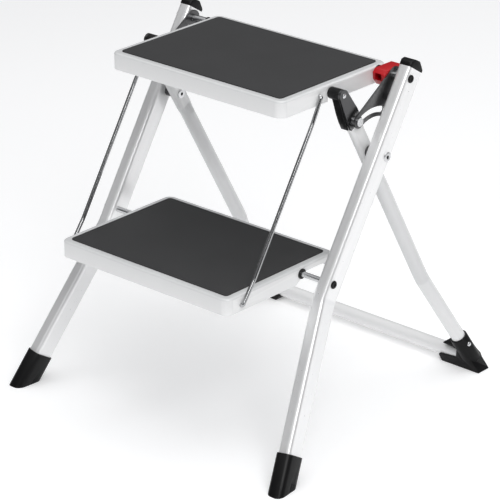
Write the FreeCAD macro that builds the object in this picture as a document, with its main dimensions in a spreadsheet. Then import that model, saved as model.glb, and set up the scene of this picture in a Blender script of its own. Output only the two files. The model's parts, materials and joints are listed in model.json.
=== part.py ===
# Folding two-tread step stool.
# Frame: +X to the right, +Y to the back, +Z up; the origin is on the floor, in the middle of the
# open stool. The treads fold up between the front rails while the rear frame closes on the scissor
# pivots. Lengths are in millimetres, angles in degrees.
import math
import os

import FreeCAD, Part
import Sketcher
from FreeCAD import Placement, Rotation, Vector

doc = FreeCAD.newDocument("StepStool")

# Driving dimensions
driving = {
    # treads: folded steel pans with a mat on top
    "tread_width": 300, "tread_depth": 213, "tread_height": 23, "tread_corner": 12,
    "tread_edge": 3, "sheet_thick": 1.5, "mat_width": 280, "mat_depth": 194,
    "mat_thick": 1.5, "mat_corner": 5,
    "top_tread_y": -18.7, "top_tread_z": 481, "low_tread_y": -121.7, "low_tread_z": 243,
    # front rails: flat-sided tubes that lean back and splay out below the lower tread
    "rail_angle": 58, "rail_mid_x": 194, "rail_width": 20, "rail_depth": 32,
    "rail_corner": 6, "rail_wall": 1.5, "rail_setback": 6, "rail_above": 14,
    "rail_bend_z": 210, "rail_splay": 9.9, "rail_bend_radius": 60, "rail_end_z": 14,
    "boot_wall": 2.2, "boot_length": 47, "cap_height": 12.5,
    # hinge rods
    "hinge_dia": 8, "low_hinge_y": -83.2, "low_hinge_z": 233.2, "top_hinge_z": 474.5,
    "hinge_cap_dia": 11, "hinge_cap_thick": 2.2, "bush_dia": 11, "bush_flange": 14,
    "fit_gap": 0.05,
    # scissor pivots
    "pivot_along": 180, "pivot_setback": 12, "pivot_dia": 8, "pivot_bore": 4.5,
    "pivot_head_dia": 13, "pivot_head": 1.8, "spacer_dia": 16, "side_gap": 0.15,
    # rear frame: round legs flattened at the top, and a crossbar in corner boots
    "leg_mid_x": 167, "leg_dia": 20, "leg_wall": 1.5, "leg_flat": 12, "leg_broad": 24,
    "leg_round_top": 38, "leg_flat_start": 22, "leg_tip": 104, "tongue_start": 51,
    "tongue_thick": 4, "leg_bend_z": 155,
    "leg_foot_x": 199, "leg_bend_radius": 70, "crossbar_y": 231.3, "crossbar_z": 15,
    "leg_stop": 14, "socket_dia": 25, "socket_length": 44, "foot_inner_x": 150,
    "foot_outer_x": 221, "foot_depth": 24,
    # tread supports at the tips of the rear legs
    "boss_dia": 16, "boss_start_x": 150.5, "spigot_dia": 10, "spigot_start_x": 146.5,
    "arm_length": 51.5, "arm_thick": 3.5, "arm_width": 12,
    # link rods
    "rod_dia": 5.5, "rod_mid_x": 153.4, "rod_arm": 119, "rod_drop": 4, "rod_sway": 3,
    "rod_sway_at": 36, "clip_dia": 10, "clip_thick": 1.6,
    # slotted guide plates on the front rails, and the studs of the rear legs that run in them
    "guide_mid_x": 178.6, "guide_thick": 2.5, "guide_eye": 11.5, "guide_rim": 9,
    "slot_width": 8.6, "stud_along": 58, "stud_dia": 6.5, "stud_head_dia": 12,
    "guide_fix_along": 254, "guide_fix_dia": 7,
    # folding lock on the top hinge
    "lock_start_x": 157.2, "lock_width": 20,
    # range of the fold
    "fold_angle": 110, "close_angle": 47,
}

sheet = doc.addObject("Spreadsheet::Sheet", "dims")
for row, (alias, value) in enumerate(driving.items(), start=1):
    sheet.set("A%d" % row, alias)
    sheet.set("B%d" % row, str(value))
    sheet.setAlias("B%d" % row, alias)
doc.recompute()


def size(alias):
    return float(sheet.get(alias))


# Places worked out from the sheet
lean = math.radians(size("rail_angle"))
alongRail = Vector(0, math.cos(lean), math.sin(lean))
behindRail = Vector(0, math.sin(lean), -math.cos(lean))
railTurn = Rotation(Vector(1, 0, 0), size("rail_angle") - 90)

lowHinge = Vector(0, size("low_hinge_y"), size("low_hinge_z"))
hingeRise = size("top_hinge_z") - size("low_hinge_z")
topHinge = lowHinge + alongRail * (hingeRise / math.sin(lean))
pivot = lowHinge + alongRail * size("pivot_along") + behindRail * size("pivot_setback")

crossbar = Vector(0, size("crossbar_y"), size("crossbar_z"))
upLeg = (pivot - crossbar).normalize()
legTurn = Rotation(Vector(1, 0, 0), math.degrees(math.atan2(-upLeg.y, upLeg.z)))
tipFromPivot = upLeg * size("leg_tip")
legTip = pivot + tipFromPivot
stud = pivot + upLeg * size("stud_along")

rodTop = topHinge + Vector(0, -size("rod_arm"), -size("rod_drop"))
rodFoot = lowHinge + Vector(0, -size("rod_arm"), -size("rod_drop"))

halfWidth = size("tread_width") / 2
railInner = size("rail_mid_x") - size("rail_width") / 2
railOuter = size("rail_mid_x") + size("rail_width") / 2
legInner = size("leg_mid_x") - size("leg_flat") / 2
legOuter = size("leg_mid_x") + size("leg_flat") / 2

sides = {"right": 1, "left": -1}
nodes = []


# Helpers
def bind(item, **expressions):
    for name, expression in expressions.items():
        item.setExpression(name, expression)


def keep(item, name):
    item.Label = name
    nodes.append(item)
    return item


def outward(side, near, length):
    """Lowest X of a slab that starts at `near` from the middle and runs outwards."""
    return near if side > 0 else -near - length


def bar(name, radius, length, start, direction=Vector(1, 0, 0)):
    """A round bar: radius and length are expressions on the sheet."""
    item = doc.addObject("Part::Cylinder", name)
    bind(item, Radius=radius, Height=length)
    item.Placement = Placement(start, Rotation(Vector(0, 0, 1), direction))
    return item


def cut(name, base, *tools):
    item = doc.addObject("Part::Cut", name)
    item.Base = base
    item.Tool = tools[0] if len(tools) == 1 else join(name + "_tools", *tools)
    return item


def join(name, *pieces):
    item = doc.addObject("Part::MultiFuse", name)
    item.Shapes = list(pieces)
    return item


def gather(name, *pieces):
    """Separate solids in one node, such as a set of equal fasteners."""
    item = doc.addObject("Part::Compound", name)
    item.Links = list(pieces)
    return item


def newBody(name, base=Vector(), turn=Rotation()):
    body = doc.addObject("PartDesign::Body", name)
    body.Placement = Placement(base, turn)
    return body


def newSketch(body, name, role, offset=0.0):
    sketch = body.newObject("Sketcher::SketchObject", name)
    plane = [part for part in body.Origin.OriginFeatures if part.Role == role][0]
    sketch.AttachmentSupport = [(plane, "")]
    sketch.MapMode = "FlatFace"
    sketch.AttachmentOffset = Placement(Vector(0, 0, offset), Rotation())
    return sketch


def drawRoundedBox(sketch, width, height, radius):
    """A centred rectangle with round corners; the three sizes are expressions."""
    wide = sketch.evalExpression(width) / 2
    high = sketch.evalExpression(height) / 2
    round_ = sketch.evalExpression(radius)
    first = sketch.GeometryCount
    corners = [(wide, -high), (wide, high), (-wide, high), (-wide, -high)]
    for number, (x, y) in enumerate(corners):
        before = corners[number - 1]
        begin = Vector(before[0], before[1], 0)
        end = Vector(x, y, 0)
        step = (end - begin).normalize()
        sketch.addGeometry(Part.LineSegment(begin + step * round_, end - step * round_), False)
    for number, (x, y) in enumerate(corners):
        middle = Vector(x - math.copysign(round_, x), y - math.copysign(round_, y), 0)
        startAngle = math.radians(90 * (number - 1))
        circle = Part.Circle(middle, Vector(0, 0, 1), round_)
        arc = Part.ArcOfCircle(circle, startAngle, startAngle + math.pi / 2)
        sketch.addGeometry(arc, False)
    rules = []
    for number in range(4):
        line, arc = first + number, first + 4 + number
        rules.append(Sketcher.Constraint("Tangent", line, 2, arc, 1))
        rules.append(Sketcher.Constraint("Tangent", arc, 2, first + (number + 1) % 4, 1))
        rules.append(Sketcher.Constraint("Horizontal" if number % 2 == 0 else "Vertical", line))
        if number:
            rules.append(Sketcher.Constraint("Equal", first + 4, arc))
    rules.append(Sketcher.Constraint("Symmetric", first, 1, first + 2, 1, -1, 1))
    sketch.addConstraint(rules)
    drive(sketch, "DistanceX", (first + 3, 1, first + 1, 1), width)
    drive(sketch, "DistanceY", (first, 1, first + 2, 1), height)
    drive(sketch, "Radius", (first + 4,), radius)


def drawCircle(sketch, x, y, radius):
    """A circle; its centre and radius are expressions."""
    place = Vector(sketch.evalExpression(x), sketch.evalExpression(y), 0)
    circle = Part.Circle(place, Vector(0, 0, 1), sketch.evalExpression(radius))
    number = sketch.addGeometry(circle, False)
    drive(sketch, "DistanceX", (-1, 1, number, 3), x)
    drive(sketch, "DistanceY", (-1, 1, number, 3), y)
    drive(sketch, "Radius", (number,), radius)


def drawPolygon(sketch, points):
    """A closed polygon; each point is a pair of numbers or expressions."""
    corners = [(str(x), str(y)) for x, y in points]
    places = [Vector(sketch.evalExpression(x), sketch.evalExpression(y), 0) for x, y in corners]
    first = sketch.GeometryCount
    count = len(places)
    for number in range(count):
        line = Part.LineSegment(places[number], places[(number + 1) % count])
        sketch.addGeometry(line, False)
    for number in range(count):
        following = first + (number + 1) % count
        sketch.addConstraint(Sketcher.Constraint("Coincident", first + number, 2, following, 1))
    for number, (x, y) in enumerate(corners):
        drive(sketch, "DistanceX", (-1, 1, first + number, 1), x)
        drive(sketch, "DistanceY", (-1, 1, first + number, 1), y)


def drawArcSlot(sketch, start, end, path, radius):
    """A slot along an arc round the sketch's origin, from start clockwise to end."""
    away = sketch.evalExpression(path)
    half = sketch.evalExpression(radius)
    begin = math.atan2(start.z, start.y)
    stop = math.atan2(end.z, end.y)
    middle = Vector(0, 0, 1)
    first = sketch.GeometryCount
    outer = Part.ArcOfCircle(Part.Circle(Vector(), middle, away + half), stop, begin)
    inner = Part.ArcOfCircle(Part.Circle(Vector(), middle, away - half), stop, begin)
    startCap = Vector(away * math.cos(begin), away * math.sin(begin), 0)
    endCap = Vector(away * math.cos(stop), away * math.sin(stop), 0)
    capOne = Part.ArcOfCircle(Part.Circle(startCap, middle, half), begin, begin + math.pi)
    capTwo = Part.ArcOfCircle(Part.Circle(endCap, middle, half), stop - math.pi, stop)
    for arc in (outer, capOne, inner, capTwo):
        sketch.addGeometry(arc, False)
    for one, oneEnd, two, twoEnd in ((0, 2, 1, 1), (1, 2, 2, 2), (2, 1, 3, 1), (3, 2, 0, 1)):
        rule = Sketcher.Constraint("Coincident", first + one, oneEnd, first + two, twoEnd)
        sketch.addConstraint(rule)
    for number in (0, 2):
        sketch.addConstraint(Sketcher.Constraint("Coincident", first + number, 3, -1, 1))
    drive(sketch, "Radius", (first + 1,), radius)


def drive(sketch, kind, where, expression):
    """Adds a dimension to a sketch and binds it to the sheet."""
    value = sketch.evalExpression(expression)
    number = sketch.addConstraint(Sketcher.Constraint(kind, *where, value))
    sketch.setExpression("Constraints[%d]" % number, expression)


def pad(body, sketch, length, reverse=False, middle=False):
    feature = body.newObject("PartDesign::Pad", sketch.Name + "_pad")
    feature.Profile = sketch
    bind(feature, Length=length)
    feature.Reversed = reverse
    feature.Midplane = middle
    return feature


def pocket(body, sketch, length, reverse=False, middle=False):
    """A pocket that has to take something away."""
    doc.recompute()
    before = body.Shape.Volume
    feature = body.newObject("PartDesign::Pocket", sketch.Name + "_pocket")
    feature.Profile = sketch
    bind(feature, Length=length)
    feature.Reversed = reverse
    feature.Midplane = middle
    doc.recompute()
    if body.Shape.Volume >= before - 0.1:
        raise ValueError(feature.Name + " cuts nothing")
    return feature


def pipe(body, profile, path):
    feature = body.newObject("PartDesign::AdditivePipe", path.Name + "_pipe")
    feature.Profile = profile
    feature.Spine = (path, [""])
    return feature


def roundEdges(body, base, names, radius, name):
    feature = body.newObject("PartDesign::Fillet", name)
    feature.Base = (base, names)
    bind(feature, Radius=radius)
    return feature


def drawBentPath(sketch, side, above, below, angle, radius):
    """A path down the sketch's Y axis that turns outwards at the origin by `angle` degrees."""
    turn = math.radians(angle)
    reach = radius * math.tan(turn / 2)
    begin = Vector(0, above, 0)
    bendStart = Vector(0, reach, 0)
    outWay = Vector(side * math.sin(turn), -math.cos(turn), 0)
    sketch.addGeometry(Part.LineSegment(begin, bendStart), False)
    middle = Vector(side * radius, reach, 0)
    away = math.pi if side > 0 else 0
    circle = Part.Circle(middle, Vector(0, 0, 1), radius)
    span = (away, away + turn) if side > 0 else (away - turn, away)
    sketch.addGeometry(Part.ArcOfCircle(circle, *span), False)
    sketch.addGeometry(Part.LineSegment(outWay * reach, outWay * below), False)
    near, far = (1, 2) if side > 0 else (2, 1)
    sketch.addConstraint([
        Sketcher.Constraint("Tangent", 0, 2, 1, near),
        Sketcher.Constraint("Tangent", 1, far, 2, 1),
        Sketcher.Constraint("PointOnObject", 0, 1, -2),
        Sketcher.Constraint("Vertical", 0),
    ])


# Front frame
bendRise = (size("low_hinge_z") - size("rail_setback") * math.cos(lean) - size("rail_bend_z"))
railBend = lowHinge + behindRail * size("rail_setback") - alongRail * (bendRise / math.sin(lean))
splay = math.radians(size("rail_splay"))
hingeSpan = (topHinge - lowHinge).Length
railAbove = hingeSpan + size("rail_above") + bendRise / math.sin(lean)
railBelow = (size("rail_bend_z") - size("rail_end_z")) / math.sin(lean) / math.cos(splay)


def makeRail(word, side):
    """One front rail: a bent flat-sided tube with holes for the hinge rods and the pivot."""
    base = Vector(side * size("rail_mid_x"), railBend.y, railBend.z)
    body = newBody("rail_%s" % word, base, railTurn)
    path = newSketch(body, "rail_path_%s" % word, "XZ_Plane")
    drawBentPath(path, side, railAbove, railBelow, size("rail_splay"), size("rail_bend_radius"))
    profile = newSketch(body, "rail_profile_%s" % word, "XY_Plane", railAbove)
    drawRoundedBox(profile, "dims.rail_width", "dims.rail_depth", "dims.rail_corner")
    inner = "dims.rail_%s - 2 * dims.rail_wall"
    drawRoundedBox(profile, inner % "width", inner % "depth", "dims.rail_corner - dims.rail_wall")
    pipe(body, profile, path)
    holes = newSketch(body, "rail_holes_%s" % word, "YZ_Plane")
    turned = Placement(base, railTurn).inverse()
    for place, alias in ((lowHinge, "hinge_dia"), (topHinge, "hinge_dia"), (pivot, "pivot_dia")):
        local = turned.multVec(Vector(base.x, place.y, place.z))
        drawCircle(holes, str(local.y), str(local.z), "dims.%s / 2" % alias)
    pocket(body, holes, "2 * dims.rail_width", middle=True)
    return keep(body, "front_rail_%s" % word)


def makeBoot(word, side):
    """One front boot: a rounded sleeve round the end of the rail with a flat sole."""
    turn = railTurn.multiply(Rotation(Vector(0, 1, 0), -side * size("rail_splay")))
    upward = turn.multVec(Vector(0, 0, 1))
    base = Vector(side * size("rail_mid_x"), railBend.y, railBend.z)
    floor = base - upward * (base.z / upward.z)
    body = newBody("boot_%s" % word, floor, turn)
    outer = newSketch(body, "boot_outer_%s" % word, "XY_Plane", -size("rail_depth"))
    grown = "dims.rail_%s + 2 * dims.boot_wall"
    drawRoundedBox(outer, grown % "width", grown % "depth", "dims.rail_corner + dims.boot_wall")
    pad(body, outer, "dims.boot_length + dims.rail_depth")
    inside = newSketch(body, "boot_inside_%s" % word, "XY_Plane", size("rail_end_z") / upward.z)
    drawRoundedBox(inside, "dims.rail_width", "dims.rail_depth", "dims.rail_corner")
    pocket(body, inside, "dims.boot_length", reverse=True)
    under = doc.addObject("Part::Box", "under_boot_%s" % word)
    bind(under, Length="6 * dims.rail_depth", Width="6 * dims.rail_depth",
         Height="3 * dims.rail_depth")
    half = 3 * size("rail_depth")
    under.Placement.Base = floor + Vector(-half, -half, -half)
    return keep(cut("boot_cut_%s" % word, body, under), "front_foot_%s" % word)


def makeCap(word, side):
    """One top cap: a low wedge on the open end of the rail."""
    top = topHinge + alongRail * size("rail_above") + behindRail * size("rail_setback")
    body = newBody("cap_%s" % word, Vector(side * size("rail_mid_x"), top.y, top.z), railTurn)
    outline = newSketch(body, "cap_outline_%s" % word, "YZ_Plane")
    edge = "dims.rail_depth / 2"
    drawPolygon(outline, [
        ("-" + edge, "0"), (edge, "0"), (edge, "0.2 * dims.cap_height"),
        ("0.1 * " + edge, "dims.cap_height"), ("-0.55 * " + edge, "0.95 * dims.cap_height"),
        ("-" + edge, "0.5 * dims.cap_height"),
    ])
    block = pad(body, outline, "dims.rail_width", middle=True)
    doc.recompute()
    upright = [
        "Edge%d" % (number + 1) for number, line in enumerate(block.Shape.Edges)
        if abs(line.tangentAt(line.FirstParameter).z) > 0.99
    ]
    roundEdges(body, block, upright, "dims.rail_corner - 1", "cap_round_%s" % word)
    plug = newSketch(body, "cap_plug_%s" % word, "XY_Plane")
    slim = "dims.rail_%s - 2 * dims.rail_wall"
    drawRoundedBox(plug, slim % "width", slim % "depth", "dims.rail_corner - dims.rail_wall")
    pad(body, plug, "dims.rail_wall * 2", reverse=True)
    return keep(body, "rail_cap_%s" % word)


def makeHingeRods():
    """The two rods that carry the treads, and the black caps on their ends."""
    for word, place in (("top", topHinge), ("lower", lowHinge)):
        start = Vector(-railOuter, place.y, place.z)
        rod = bar("%s_rod" % word, "dims.hinge_dia / 2",
                  "2 * dims.rail_mid_x + dims.rail_width", start)
        keep(rod, "%s_hinge_rod" % word)
    caps = []
    for word, place in (("top", topHinge), ("lower", lowHinge)):
        for sideWord, side in sides.items():
            near = outward(side, railOuter, size("hinge_cap_thick"))
            caps.append(bar("cap_%s_%s" % (word, sideWord), "dims.hinge_cap_dia / 2",
                            "dims.hinge_cap_thick", Vector(near, place.y, place.z)))
    keep(gather("hinge_caps", *caps), "hinge_rod_caps")


def makePivots():
    """Hollow rivets of the scissor, and the spacers between rails and rear legs."""
    rivets, spacers = [], []
    reach = railOuter - legInner
    for word, side in sides.items():
        place = Vector(0, pivot.y, pivot.z)
        innerFace = legInner - size("side_gap")
        shank = bar("shank_" + word, "dims.pivot_dia / 2", "%s + dims.side_gap" % reach,
                    place + Vector(outward(side, innerFace, reach + size("side_gap")), 0, 0))
        inner = bar("inner_head_" + word, "dims.pivot_head_dia / 2", "dims.pivot_head",
                    place + Vector(outward(side, innerFace - size("pivot_head"),
                                           size("pivot_head")), 0, 0))
        outer = bar("outer_head_" + word, "dims.pivot_head_dia / 2", "dims.pivot_head",
                    place + Vector(outward(side, railOuter, size("pivot_head")), 0, 0))
        span = reach + 4 * size("pivot_head")
        bore = bar("rivet_bore_" + word, "dims.pivot_bore / 2", str(span),
                   place + Vector(outward(side, innerFace - 1.5 * size("pivot_head"), span), 0, 0))
        whole = join("rivet_solid_" + word, shank, inner, outer)
        rivets.append(cut("rivet_" + word, whole, bore))
        gap = railInner - legOuter - size("side_gap")
        ring = bar("spacer_ring_" + word, "dims.spacer_dia / 2", str(gap),
                   place + Vector(outward(side, legOuter + size("side_gap"), gap), 0, 0))
        hole = bar("spacer_hole_" + word, "dims.pivot_dia / 2", str(gap + 2),
                   place + Vector(outward(side, legOuter - 1, gap + 2), 0, 0))
        spacers.append(cut("spacer_" + word, ring, hole))
    keep(gather("rivets", *rivets), "pivot_rivets")
    keep(gather("spacers", *spacers), "pivot_spacers")


# Rear frame
bendDrop = (pivot.z - size("leg_bend_z")) / upLeg.z
legBend = pivot - upLeg * bendDrop
legSpread = math.atan2((size("leg_foot_x") - size("leg_mid_x")) * upLeg.z,
                       size("leg_bend_z") - size("crossbar_z"))
legBelow = ((size("leg_bend_z") - size("crossbar_z")) / upLeg.z / math.cos(legSpread)
            - size("leg_stop"))


def makeLeg(word, side):
    """One rear leg: a round tube, flattened above the pivot and narrowed to its tip."""
    base = Vector(side * size("leg_mid_x"), legBend.y, legBend.z)
    body = newBody("leg_%s" % word, base, legTurn)
    roundEnd = bendDrop - size("leg_round_top")
    flatStart = bendDrop - size("leg_flat_start")
    path = newSketch(body, "leg_path_%s" % word, "XZ_Plane")
    drawBentPath(path, side, roundEnd, legBelow, math.degrees(legSpread),
                 size("leg_bend_radius"))
    ring = newSketch(body, "leg_ring_%s" % word, "XY_Plane", roundEnd)
    drawCircle(ring, "0", "0", "dims.leg_dia / 2")
    drawCircle(ring, "0", "0", "dims.leg_dia / 2 - dims.leg_wall")
    pipe(body, ring, path)
    lower = newSketch(body, "leg_neck_low_%s" % word, "XY_Plane", roundEnd)
    drawCircle(lower, "0", "0", "dims.leg_dia / 2")
    upper = newSketch(body, "leg_neck_high_%s" % word, "XY_Plane", flatStart)
    drawRoundedBox(upper, "dims.leg_flat", "dims.leg_broad", "dims.leg_flat / 2 - 0.05")
    neck = body.newObject("PartDesign::AdditiveLoft", "leg_neck_%s" % word)
    neck.Profile = lower
    neck.Sections = [upper]
    flat = newSketch(body, "leg_flat_%s" % word, "XY_Plane", flatStart)
    drawRoundedBox(flat, "dims.leg_flat", "dims.leg_broad", "dims.leg_flat / 2 - 0.05")
    pad(body, flat, "dims.leg_flat_start + dims.tongue_start")
    holes = newSketch(body, "leg_holes_%s" % word, "YZ_Plane")
    drawCircle(holes, "0", str(bendDrop), "dims.pivot_dia / 2 + dims.fit_gap")
    pocket(body, holes, "4 * dims.leg_dia", middle=True)
    return keep(body, "rear_leg_%s" % word)


def makeTongue(word, side):
    """The flat steel tongue at the top of a rear leg, tapered to a round tip."""
    near = outward(side, legOuter - size("tongue_thick"), size("tongue_thick"))
    body = newBody("tongue_%s" % word, Vector(near, pivot.y, pivot.z), legTurn)
    outline = newSketch(body, "tongue_outline_%s" % word, "YZ_Plane")
    broad, tip = "dims.leg_broad / 2", "dims.boss_dia / 2"
    drawPolygon(outline, [
        ("-" + broad, "dims.tongue_start"), (broad, "dims.tongue_start"),
        (broad, "dims.leg_tip - 34"), (tip, "dims.leg_tip"),
        ("-" + tip, "dims.leg_tip"), ("-" + broad, "dims.leg_tip - 34"),
    ])
    pad(body, outline, "dims.tongue_thick")
    end = newSketch(body, "tongue_end_%s" % word, "YZ_Plane")
    drawCircle(end, "0", "dims.leg_tip", "dims.boss_dia / 2")
    pad(body, end, "dims.tongue_thick")
    hole = newSketch(body, "tongue_hole_%s" % word, "YZ_Plane")
    drawCircle(hole, "0", "dims.stud_along", "dims.stud_dia / 2")
    pocket(body, hole, "2 * dims.tongue_thick", reverse=True)
    return keep(body, "leg_tongue_%s" % word)


def makeCrossbar():
    reach = "2 * dims.leg_foot_x"
    start = Vector(-size("leg_foot_x"), crossbar.y, crossbar.z)
    solid = bar("crossbar_solid", "dims.leg_dia / 2", reach, start)
    bore = bar("crossbar_bore", "dims.leg_dia / 2 - dims.leg_wall", reach, start)
    keep(cut("crossbar", solid, bore), "rear_crossbar")


def makeRearFoot(word, side):
    """One corner boot: a leg socket on a flat-soled shoe that holds the end of the crossbar."""
    near = size("foot_inner_x")
    length = size("foot_outer_x") - near
    sole = newBody("shoe_%s" % word, Vector(0, crossbar.y, 0))
    outline = newSketch(sole, "shoe_outline_%s" % word, "XZ_Plane")
    socketTurn = legTurn.multiply(Rotation(Vector(0, 1, 0), -side * math.degrees(legSpread)))
    upward = socketTurn.multVec(Vector(0, 0, 1))
    drawPolygon(outline, [
        (side * (near + 6), 0), (side * (near + length), 0), (side * (near + length - 16.5), 49),
        (side * (near + 41), 49), (side * (near + 34), 33), (side * (near + 24), 31),
        (side * (near + 24), 28), (side * (near + 31), 26), (side * (near + 30), 13),
        (side * near, 10),
    ])
    block = pad(sole, outline, "dims.foot_depth", middle=True)
    doc.recompute()
    upright = [
        "Edge%d" % (number + 1) for number, line in enumerate(block.Shape.Edges)
        if abs(line.Vertexes[0].Point.x - side * (near + length)) < 0.01
        or abs(line.Vertexes[-1].Point.x - side * (near + length)) < 0.01
        if abs(line.tangentAt(line.FirstParameter).y) < 0.01
        and abs(line.tangentAt(line.FirstParameter).z) > 0.5
    ]
    roundEdges(sole, block, upright, "dims.foot_depth / 4", "shoe_round_%s" % word)
    end = Vector(side * size("leg_foot_x"), crossbar.y, crossbar.z)
    socket = bar("socket_%s" % word, "dims.socket_dia / 2", "dims.socket_length", end, upward)
    # the back of the shoe slopes with the leg
    back = doc.addObject("Part::Box", "behind_shoe_%s" % word)
    bind(back, Length="4 * dims.foot_depth", Width="4 * dims.foot_depth",
         Height="4 * dims.foot_depth")
    corner = Vector(-2 * size("foot_depth"), size("socket_dia") / 2, -size("foot_depth"))
    back.Placement = Placement(end + legTurn.multVec(corner), legTurn)
    whole = join("rear_boot_%s" % word, cut("shoe_cut_%s" % word, sole, back), socket)
    hole = bar("socket_hole_%s" % word, "dims.leg_dia / 2", "2 * dims.socket_length",
               end + upward * size("leg_stop"), upward)
    start = Vector(outward(side, 0, size("leg_foot_x")), crossbar.y, crossbar.z)
    seat = bar("bar_seat_%s" % word, "dims.leg_dia / 2", "dims.leg_foot_x", start)
    box = doc.addObject("Part::Box", "under_shoe_%s" % word)
    bind(box, Length="4 * dims.foot_depth", Width="4 * dims.foot_depth", Height="dims.foot_depth")
    box.Placement.Base = end + Vector(-2 * size("foot_depth"), -2 * size("foot_depth"),
                                      -size("crossbar_z") - size("foot_depth"))
    return keep(cut("rear_boot_cut_%s" % word, whole, hole, seat, box), "rear_foot_%s" % word)


def makeFootRivets():
    """The rivets that hold the rear boots on the legs: heads only, on the outer side."""
    heads = []
    for word, side in sides.items():
        turn = legTurn.multiply(Rotation(Vector(0, 1, 0), -side * math.degrees(legSpread)))
        upward = turn.multVec(Vector(0, 0, 1))
        outWay = turn.multVec(Vector(side, 0, 0))
        end = Vector(side * size("leg_foot_x"), crossbar.y, crossbar.z)
        place = end + upward * (size("socket_length") * 0.68)
        heads.append(bar("boot_rivet_%s" % word, "dims.stud_dia / 2", "2",
                         place + outWay * (size("socket_dia") / 2), outWay))
    keep(gather("boot_rivets", *heads), "rear_foot_rivets")


def makeSupport(word, side):
    """One tread support: a boss with a spigot on the leg tip and an arm down the leg's front."""
    tip = Vector(0, legTip.y, legTip.z)
    bossEnd = legOuter - size("tongue_thick")
    bossLength = bossEnd - size("boss_start_x")
    boss = bar("boss_%s" % word, "dims.boss_dia / 2", str(bossLength),
               tip + Vector(outward(side, size("boss_start_x"), bossLength), 0, 0))
    spigotLength = size("boss_start_x") - size("spigot_start_x") + 1
    spigot = bar("spigot_%s" % word, "dims.spigot_dia / 2", str(spigotLength),
                 tip + Vector(outward(side, size("spigot_start_x"), spigotLength), 0, 0))
    # the arm is drawn with Y to the back of the leg and Z up the leg, from the tip
    armStart = outward(side, bossEnd - size("arm_width"), size("arm_width"))
    armBody = newBody("arm_%s" % word, Vector(armStart, tip.y, tip.z), legTurn)
    outline = newSketch(armBody, "arm_outline_%s" % word, "YZ_Plane")
    front = size("leg_broad") / 2
    thick = size("arm_thick")
    length = size("arm_length")
    drawPolygon(outline, [
        (0, -2), (-3, -20), (-8.5, 14 - length), (-8.5, -length), (-front - 0.4, -length),
        (-front - 1.2, -length - 7), (-front - 2.6, -length - 7), (-front - thick, 12 - length),
        (-front - thick, -30), (-size("boss_dia") / 2 - thick * 0.6, -5), (-7, 2),
    ])
    pad(armBody, outline, "dims.arm_width")
    whole = join("support_%s" % word, boss, spigot, armBody)
    return keep(whole, "tread_support_%s" % word)


def makeTipRivets():
    """Rivets through leg tip and support, and the studs that run in the guide plates."""
    heads, studs = [], []
    for word, side in sides.items():
        heads.append(bar("tip_rivet_%s" % word, "dims.stud_dia / 2", "1.8",
                         Vector(outward(side, legOuter, 1.8), legTip.y, legTip.z)))
        guideOuter = size("guide_mid_x") + size("guide_thick") / 2
        back = legOuter - size("tongue_thick")
        reach = guideOuter - back + size("side_gap")
        shank = bar("stud_shank_%s" % word, "dims.stud_dia / 2", str(reach),
                    Vector(outward(side, back, reach), stud.y, stud.z))
        foot = bar("stud_foot_%s" % word, "dims.stud_head_dia / 2", "2",
                   Vector(outward(side, back - 2, 2), stud.y, stud.z))
        head = bar("stud_head_%s" % word, "dims.stud_head_dia / 2", "2",
                   Vector(outward(side, guideOuter + size("side_gap"), 2), stud.y, stud.z))
        collarLength = size("guide_mid_x") - size("guide_thick") / 2 - legOuter - size("side_gap")
        collar = bar("stud_collar_%s" % word, "dims.stud_head_dia / 2", str(collarLength),
                     Vector(outward(side, legOuter, collarLength), stud.y, stud.z))
        studs.append(join("stud_%s" % word, shank, foot, head, collar))
    keep(gather("tip_rivets", *heads), "support_rivets")
    keep(gather("studs", *studs), "guide_studs")


# Treads
def makePan(word, prefix, hinge, rod):
    """One tread pan: a tray turned upside down with holes for its hinge rod and link rods."""
    base = Vector(0, size("%s_tread_y" % prefix), size("%s_tread_z" % prefix)
                  - size("tread_height"))
    body = newBody("pan_%s" % word, base)
    outline = newSketch(body, "pan_outline_%s" % word, "XY_Plane")
    drawRoundedBox(outline, "dims.tread_width", "dims.tread_depth", "dims.tread_corner")
    tray = pad(body, outline, "dims.tread_height")
    doc.recompute()
    rim = [
        "Edge%d" % (number + 1) for number, line in enumerate(tray.Shape.Edges)
        if all(abs(end.Point.z - size("tread_height")) < 0.01 for end in line.Vertexes)
    ]
    roundEdges(body, tray, rim, "dims.tread_edge", "pan_rim_%s" % word)
    inside = newSketch(body, "pan_inside_%s" % word, "XY_Plane")
    slim = "dims.tread_%s - 2 * dims.sheet_thick"
    drawRoundedBox(inside, slim % "width", slim % "depth",
                   "dims.tread_corner - dims.sheet_thick")
    pocket(body, inside, "dims.tread_height - dims.sheet_thick", reverse=True)
    holes = newSketch(body, "pan_holes_%s" % word, "YZ_Plane")
    drawCircle(holes, str(hinge.y - base.y), str(hinge.z - base.z), "dims.bush_dia / 2")
    drawCircle(holes, str(rod.y - base.y), str(rod.z - base.z), "dims.rod_dia / 2 + dims.fit_gap")
    pocket(body, holes, "dims.tread_width + 10", middle=True)
    return body, base


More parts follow.
